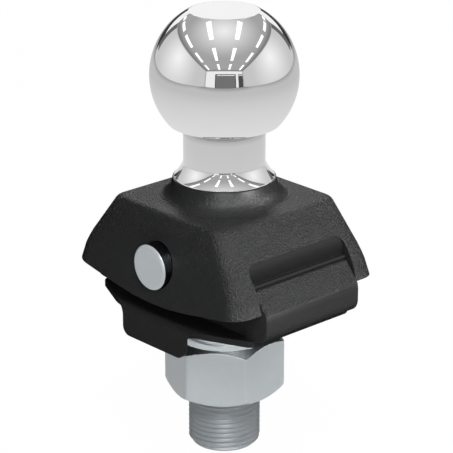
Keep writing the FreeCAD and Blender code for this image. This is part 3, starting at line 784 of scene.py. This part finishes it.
class TOWBALL_OT_shank(bpy.types.Operator):
    """Threaded shank with its head, collar, plain neck and relief"""

    bl_idname = "towball.shank"
    bl_label = "Threaded shank"

    def execute(self, context):
        sizes = context.scene.towball_sizes
        colours = context.scene.towball_colours
        pitch = sizes.thread_pitch / MM
        root_r = THREAD_R - sizes.thread_depth / MM
        thread = bmesh.new()
        start_z = SHANK_END_Z - pitch
        # One turn of the thread: a slightly rounded root and a narrow flat crest
        screwed(thread, (root_r, start_z),
                [(root_r + 0.05, start_z + 0.06 * pitch), (THREAD_R, start_z + 0.45 * pitch),
                 (THREAD_R, start_z + 0.55 * pitch),
                 (root_r + 0.05, start_z + 0.94 * pitch), (root_r, start_z + pitch)],
                pitch, SHANK_END_Z, THREAD_TOP_Z)
        end_chamfer = 1.5
        for v in thread.verts:
            above = v.co.z / MM - SHANK_END_Z
            reach = (THREAD_R - end_chamfer + above) * MM
            across = v.co.xy.length
            if across > reach:
                v.co.xy *= reach / across
        rims = [e for e in thread.edges if e.is_boundary]
        bmesh.ops.holes_fill(thread, edges=rims)
        obj = as_object("shank", thread)
        foot_z = THREAD_TOP_Z - 1
        body = turned((0, foot_z), [(RELIEF_R, foot_z), (RELIEF_R, -9.8), (12.2, -9.5),
                                    (SHANK_R, -9.0), (SHANK_R, 0), (COLLAR_R, 0),
                                    (COLLAR_R, COLLAR_TOP_Z), (HEAD_R, COLLAR_TOP_Z),
                                    (HEAD_R, HEAD_TOP_Z), (0, HEAD_TOP_Z)], 96)
        upper = as_object("shank_neck", body)
        smooth(obj, 40)
        smooth(upper, 40)
        zinc = plated_material("Zinc plate on the shank", colours.shank, roughness=0.4,
                               mottle=0.1, metallic=0.35)
        # Painted light: the neck and the thread's top turns get a lighter zinc than the rest of
        # the shank, as if lit under the seat plate
        clean = plated_material("Turned neck of the shank, lightened by painted light", colours.neck,
                                roughness=0.45, mottle=0.03, metallic=0.4)
        put_on(upper, clean)
        # Faces above this height take the painted light of the neck
        painted_light_z = -14 * MM
        put_by_face(obj, (zinc, clean), lambda face: face.center.z > painted_light_z)
        settled(obj, "base", "shank_steel", "threaded_shank")
        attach(upper, "base")
        return {"FINISHED"}


class TOWBALL_OT_nut(bpy.types.Operator):
    """Hexagon nut, chamfered on both faces, with a threaded bore"""

    bl_idname = "towball.nut"
    bl_label = "Hexagon nut"

    def execute(self, context):
        sizes = context.scene.towball_sizes
        colours = context.scene.towball_colours
        low, high = NUT_LOW_Z, NUT_HIGH_Z
        corner_r = NUT_ACROSS_FLATS / math.sqrt(3)
        bm = bmesh.new()
        turn = Matrix.Rotation(math.radians(NUT_TURN_DEG), 4, "Z")
        bmesh.ops.create_circle(bm, cap_ends=True, segments=6, radius=corner_r * MM,
                                matrix=Matrix.Translation(vector(0, 0, low)) @ turn)
        raised = bmesh.ops.extrude_face_region(bm, geom=bm.faces[:])["geom"]
        top = [v for v in raised if isinstance(v, bmesh.types.BMVert)]
        bmesh.ops.translate(bm, verts=top, vec=vector(0, 0, high - low))
        corners = [e for e in bm.edges if abs(e.verts[0].co.z - e.verts[1].co.z) > MM]
        rounded(bm, corners, sizes.nut_round)
        obj = as_object("nut", bm)
        # Turned body that chamfers both faces: 31 degrees above, steeper below
        past_r = 30
        depth = (past_r - NUT_FACE_R) * math.tan(math.radians(31))
        lens = turned((0, low), [(NUT_FACE_R, low), (20.4, low + 1.6), (past_r, low + 10.5),
                                 (past_r, high - depth), (NUT_FACE_R, high), (0, high)], 144)
        combined(obj, lens, "INTERSECT")
        root_r = NUT_BORE_R + sizes.thread_depth / MM * 0.8
        mouth_r, mouth_depth = root_r + 0.3, 0.3
        bore = turned((0, low - 1), [(mouth_r, low - 1), (mouth_r, low),
                                     (root_r, low + mouth_depth), (root_r, high - mouth_depth),
                                     (mouth_r, high), (mouth_r, high + 1), (0, high + 1)], 96)
        combined(obj, bore, "DIFFERENCE")
        cleaned(obj)
        softened(obj, sizes.turned_round * 0.6, 3, 24)
        pitch = sizes.thread_pitch / MM
        start_z = low - pitch
        thread = bmesh.new()
        screwed(thread, (root_r, start_z),
                [(NUT_BORE_R, start_z + 0.42 * pitch), (NUT_BORE_R, start_z + 0.58 * pitch),
                 (root_r, start_z + pitch)], pitch, low + mouth_depth,
                high - mouth_depth)
        # Closed by a wall that lies inside the nut
        wall_r = root_r + 0.15
        rims = [e for e in thread.edges if e.is_boundary]
        for v in bmesh.ops.extrude_edge_only(thread, edges=rims)["geom"]:
            if isinstance(v, bmesh.types.BMVert):
                v.co.xy *= wall_r * MM / v.co.xy.length
        rims = [e for e in thread.edges if e.is_boundary]
        bmesh.ops.bridge_loops(thread, edges=rims)
        inside = as_object("nut_thread", thread)
        smooth(inside, 40)
        zinc = plated_material("Bright zinc plate", colours.zinc, roughness=0.38, mottle=0.06)
        # The turned faces are duller than the flats, the turned chamfer is more polished
        turned_face = plated_material("Turned face of the nut", colours.zinc, roughness=0.5,
                                      mottle=0.03, metallic=0.2)
        chamfer = plated_material("Turned chamfer of the nut", colours.zinc, roughness=0.2,
                                  mottle=0.06, metallic=1)
        put_by_face(obj, (zinc, turned_face, chamfer),
                    lambda face: 1 if abs(face.normal.z) > 0.99 else 2 * (face.normal.z > 0.3))
        put_on(inside, zinc)
        settled(obj, "nut", "zinc", "hex_nut")
        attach(inside, "nut")
        return {"FINISHED"}


class TOWBALL_OT_hidden(bpy.types.Operator):
    """Finishes of the hidden pieces whose CAD shape is kept"""

    bl_idname = "towball.hidden"
    bl_label = "Bushes, screws and stud nut"

    def execute(self, context):
        colours = context.scene.towball_colours
        bronze = plated_material("Bearing bronze", colours.bronze, roughness=0.4, mottle=0.08)
        zinc = plated_material("Zinc plate on screws", colours.zinc, roughness=0.36,
                               mottle=0.04)
        finishes = {"pivot_bush_left": bronze, "pivot_bush_right": bronze,
                    "ball_stud_nut": zinc, "plate_screw_front": zinc,
                    "plate_screw_rear": zinc}
        for node, material in finishes.items():
            put_on(frame["nodes"][node], material)
        return {"FINISHED"}


# Surroundings

def glow_material(name):
    """Even light for what the chrome mirrors, as strong as the panel's glow attribute."""
    material = bpy.data.materials.new(name)
    material.use_nodes = True
    tree = material.node_tree
    tree.nodes.clear()
    level = add(tree, "ShaderNodeAttribute", attribute_name="glow").outputs["Fac"]
    light = add(tree, "ShaderNodeEmission", {"Strength": level})
    behind = add(tree, "ShaderNodeNewGeometry").outputs["Backfacing"]
    clear = add(tree, "ShaderNodeBsdfTransparent")
    mix = add(tree, "ShaderNodeMixShader", {0: behind, 1: light.outputs["Emission"],
                                            2: clear.outputs["BSDF"]})
    output = add(tree, "ShaderNodeOutputMaterial")
    tree.links.new(mix.outputs["Shader"], output.inputs["Surface"])
    return material


# Axes of the mirrored room about the ball's centre: towards the camera, to its right, up
ROOM = Matrix(((0.7355, 0.6775, 0, 0), (-0.6775, 0.7355, 0, 0), (0, 0, 1, BALL_Z * MM),
               (0, 0, 0, 1)))
FACING = {"up": (0, "X"), "down": (180, "X"), "near": (90, "Y"), "far": (-90, "Y"),
          "right": (-90, "X"), "left": (90, "X")}


def room_panel(name, facing, centre, size, edge, middle=None, glow=(0, 0), reach=1, corner=1,
               fade=0.1, power=1):
    """Rectangle that only mirrors show, from its front, in metres: its light runs from the
    edge level to the middle level round the glow spot, and dims to a factor at its border."""
    bm = bmesh.new()
    half = Vector(size) / 2
    bmesh.ops.create_grid(bm, x_segments=40, y_segments=40, size=1,
                          matrix=Matrix.Diagonal((half.x, half.y, 1, 1)))
    layer = bm.verts.layers.float.new("glow")
    low = to_linear(edge)[0] * power
    high = to_linear(middle or edge)[0] * power
    for v in bm.verts:
        share = max(0, 1 - (v.co.xy - Vector(glow)).length / reach) ** 1.5
        border = min(half.x - abs(v.co.x), half.y - abs(v.co.y))
        dimmed = corner + (1 - corner) * min(1, max(0, border) / fade)
        v[layer] = (low + (high - low) * share) * dimmed
    degrees, axis = FACING[facing]
    shape = ROOM @ Matrix.Translation(centre) @ Matrix.Rotation(math.radians(degrees), 4, axis)
    bmesh.ops.transform(bm, matrix=shape, verts=bm.verts)
    mesh = bpy.data.meshes.new(name)
    bm.to_mesh(mesh)
    bm.free()
    obj = bpy.data.objects.new(name, mesh)
    bpy.context.scene.collection.objects.link(obj)
    put_on(obj, bpy.data.materials.get("Room light") or glow_material("Room light"))
    for ray in ("camera", "diffuse", "shadow", "transmission", "volume_scatter"):
        setattr(obj, "visible_" + ray, False)


def lamp(place, target, size, power):
    """Soft rectangular lamp."""
    data = bpy.data.lights.new("lamp", "AREA")
    data.shape = "RECTANGLE"
    data.size, data.size_y = size
    data.energy = power
    obj = bpy.data.objects.new("lamp", data)
    obj.location = place
    direction = Vector(target) - Vector(place)
    obj.rotation_euler = direction.to_track_quat("-Z", "Y").to_euler()
    bpy.context.scene.collection.objects.link(obj)
    return obj


def link_list(name, pieces, state="INCLUDE"):
    """List that lets a light reach only these pieces, or all but these."""
    made = bpy.data.collections.new(name)
    for piece in pieces:
        made.objects.link(bpy.data.objects[piece])
    for entry in made.collection_objects:
        entry.light_linking.link_state = state
    return made


class TOWBALL_OT_stage(bpy.types.Operator):
    """Floor, mirrored room, lamps, world and camera"""

    bl_idname = "towball.stage"
    bl_label = "Stage"
    # Panels that only the bright metal mirrors, because they would grey the black coat
    bright_only = ("room_floor", "near_floor", "room_ceiling", "room_side", "far_alcove",
                   "room_end", "room_far_end", "far_cupboards", "ceiling_light")

    def execute(self, context):
        colours = context.scene.towball_colours
        bright = link_list("Bright metal", ("ball", "pin", "nut", "nut_thread", "shank",
                                            "shank_neck"))
        self.floor(colours)
        self.room()
        for obj in context.scene.objects:
            if obj.name.split(".")[0] in self.bright_only:
                obj.light_linking.receiver_collection = bright
        self.lamps(context.scene)
        self.camera(context.scene)
        return {"FINISHED"}

    def floor(self, colours):
        """Pale floor, which the camera sees nearly white."""
        bm = bmesh.new()
        spot = Matrix.Translation(vector(0, 0, FLOOR_Z))
        bmesh.ops.create_grid(bm, x_segments=1, y_segments=1, size=6, matrix=spot)
        obj = as_object("floor", bm)
        material, principled = shader("Pale floor")
        tree = material.node_tree
        principled.inputs["Base Color"].default_value = list(colours.floor) + [1]
        principled.inputs["Roughness"].default_value = 0.9
        principled.inputs["Specular IOR Level"].default_value = 0
        glow = add(tree, "ShaderNodeEmission", {"Color": (1, 1, 1, 1), "Strength": 1})
        seen = add(tree, "ShaderNodeLightPath").outputs["Is Camera Ray"]
        white_share = 0.97  # the rest is the shaded floor, for a faint shadow
        share = between(tree, seen, 0, white_share)
        mix = add(tree, "ShaderNodeMixShader", {0: share, 1: principled.outputs["BSDF"],
                                                2: glow.outputs["Emission"]})
        tree.links.new(mix.outputs["Shader"], tree.nodes["Material Output"].inputs["Surface"])
        put_on(obj, material)
        obj.visible_glossy = False

    def room(self):
        """Bright hall with rows of ceiling lights, as the ball mirrors it."""
        room_panel("room_floor", "up", (0.5, 0, -0.45), (11, 6.6), "#C8C8C8", "#EEEEEE",
                   (-0.5, 0), 2.0, 0.45, 2.4)
        room_panel("near_floor", "up", (0, 0, -0.0364), (0.8, 0.8), "#C8C8C8", "#EEEEEE",
                   (0, 0), 2.0 * 0.0364 / 0.45, 0.6, 0.2)
        room_panel("room_ceiling", "down", (0.5, 0, 2.4), (11, 6.6), "#ACACAC", "#FFFFFF",
                   (-0.3, 0), 2.7, 0.45, 0.7)
        for facing, side in (("left", 1), ("right", -1)):
            room_panel("room_side", facing, (0.5, side * 3.3, 0.975), (11, 2.85), "#CCCCCC",
                       "#FFFFFF", (-0.2, 0.4 * side), 3.2, 0.4, 0.1, 1.05)
            room_panel("far_alcove", facing, (-4.3, side * 3.28, 1.2), (1.4, 2.2), "#6A6A6A")
        room_panel("room_end", "far", (6.0, 0, 0.975), (2.85, 6.6), "#FAFAFA", corner=0.5)
        room_panel("room_far_end", "near", (-5.0, 0, 0.975), (2.85, 6.6), "#FFFFFF",
                   corner=0.1)
        room_panel("far_cupboards", "near", (-4.98, 0, 0.2), (1.1, 6.5), "#3A3A3A")
        room_panel("door_frame", "far", (5.98, 0.2, 0.69), (2.28, 3.4), "#505050")
        room_panel("door_leaf", "far", (5.97, 0.2, 0.62), (2.1, 3.1), "#787878")
        room_panel("door_light", "far", (5.96, 0.25, 1.62), (0.12, 2.9), "#FFFFFF")
        room_panel("side_door_frame", "far", (5.98, 2.78, 0.69), (2.28, 0.9), "#505050")
        room_panel("side_door_light", "far", (5.96, 2.78, 1.62), (0.12, 0.8), "#FFFFFF")
        for column in (-2.48, -0.755, 0.755, 2.48):
            for low, high in ((-4.9, -3.75), (-3.2, -1.45), (-0.8, 0.75),
                              (1.5, 3.1), (3.8, 5.4)):
                room_panel("ceiling_light", "down", ((low + high) / 2, column, 2.39),
                           (high - low, 0.27), "#FFFFFF", power=1.6)

    def lamps(self, scene):
        """Soft lamps from all round. The ball shows the room and none of them, and some reach
        only the pieces that are brighter in the photo than the other lamps make them."""
        lamps = {
            "key": lamp((0.8, 0.9, 0.8), (0, 0, 0.02), (0.6, 0.6), 12),
            "back": lamp((-1.1, 1.0, 0.75), (0, 0, 0.03), (0.9, 0.6), 6),
            "front": lamp((1.0, -0.95, 0.42), (0, 0, -0.02), (0.8, 0.8), 9),
            "high": lamp((0.75, -0.65, 1.1), (0, 0, 0.03), (0.3, 0.3), 12),
            "side": lamp((1.22, 0.22, 0.25), (0, 0, 0.02), (0.6, 0.6), 15),
            "nut": lamp((0.3, -0.06, 0.95), (0, 0, -0.0126), (0.3, 0.3), 13),
            "shank": lamp((0.9, -0.55, 0.1), (0, 0, -0.045), (1.8, 0.4), 11),
        }
        all_but_ball = link_list("All but the ball", ("ball",), "EXCLUDE")
        castings = link_list("Castings", ("housing", "base_casting"))
        not_shank = link_list("Neither ball nor shank", ("ball", "shank"), "EXCLUDE")
        reaches = {"key": not_shank, "front": not_shank,
                   "side": castings,
                   "shank": link_list("Shank", ("shank",)),
                   "nut": link_list("Nut", ("nut", "nut_thread", "shank", "shank_neck"))}
        for name, obj in lamps.items():
            obj.light_linking.receiver_collection = reaches.get(name, all_but_ball)
        # The photo's nut is bright on top, so the plate over it casts no shadow from this lamp
        lamps["nut"].light_linking.blocker_collection = reaches["nut"]
        lamps["high"].data.color = (0.92, 0.96, 1)
        world = bpy.data.worlds.new("Soft room light")
        world.use_nodes = True
        background = world.node_tree.nodes["Background"]
        background.inputs["Color"].default_value = (1, 1, 1, 1)
        background.inputs["Strength"].default_value = 0.35
        scene.world = world
        scene.view_settings.view_transform = "Standard"

    def camera(self, scene):
        """Camera at the photo's angle."""
        data = bpy.data.cameras.new("camera")
        data.lens = 178.38
        data.shift_x = 0.0049
        data.shift_y = -0.0009
        obj = bpy.data.objects.new("camera", data)
        obj.location = (0.53413, -0.49204, 0.30196)
        obj.rotation_euler = [math.radians(a) for a in (69.26, 0, 47.35)]
        scene.collection.objects.link(obj)
        scene.camera = obj


OPERATORS = (TOWBALL_OT_ball, TOWBALL_OT_housing, TOWBALL_OT_pin, TOWBALL_OT_base,
             TOWBALL_OT_cushions, TOWBALL_OT_plate, TOWBALL_OT_shank, TOWBALL_OT_nut,
             TOWBALL_OT_hidden, TOWBALL_OT_stage)


class TOWBALL_PT_panel(bpy.types.Panel):
    """Lists the steps that build the tow ball"""

    bl_idname = "TOWBALL_PT_panel"
    bl_label = "Tow Ball"
    bl_space_type = "VIEW_3D"
    bl_region_type = "UI"
    bl_category = "Tow Ball"

    def draw(self, context):
        for group in (context.scene.towball_sizes, context.scene.towball_colours):
            box = self.layout.box()
            for key in group.bl_rna.properties.keys():
                if key not in ("rna_type", "name"):
                    box.prop(group, key)
        for operator in OPERATORS:
            self.layout.operator(operator.bl_idname)


CLASSES = (TowBallSizes, TowBallColours) + OPERATORS + (TOWBALL_PT_panel,)


def register():
    for cls in CLASSES:
        bpy.utils.register_class(cls)
    bpy.types.Scene.towball_sizes = bpy.props.PointerProperty(type=TowBallSizes)
    bpy.types.Scene.towball_colours = bpy.props.PointerProperty(type=TowBallColours)


def unregister():
    del bpy.types.Scene.towball_colours
    del bpy.types.Scene.towball_sizes
    for cls in reversed(CLASSES):
        bpy.utils.unregister_class(cls)


def main():
    register()
    bpy.ops.towball.ball()
    bpy.ops.towball.housing()
    bpy.ops.towball.pin()
    bpy.ops.towball.base()
    bpy.ops.towball.cushions()
    bpy.ops.towball.plate()
    bpy.ops.towball.shank()
    bpy.ops.towball.nut()
    bpy.ops.towball.hidden()
    bpy.ops.towball.stage()


if __name__ == "__main__":
    main()
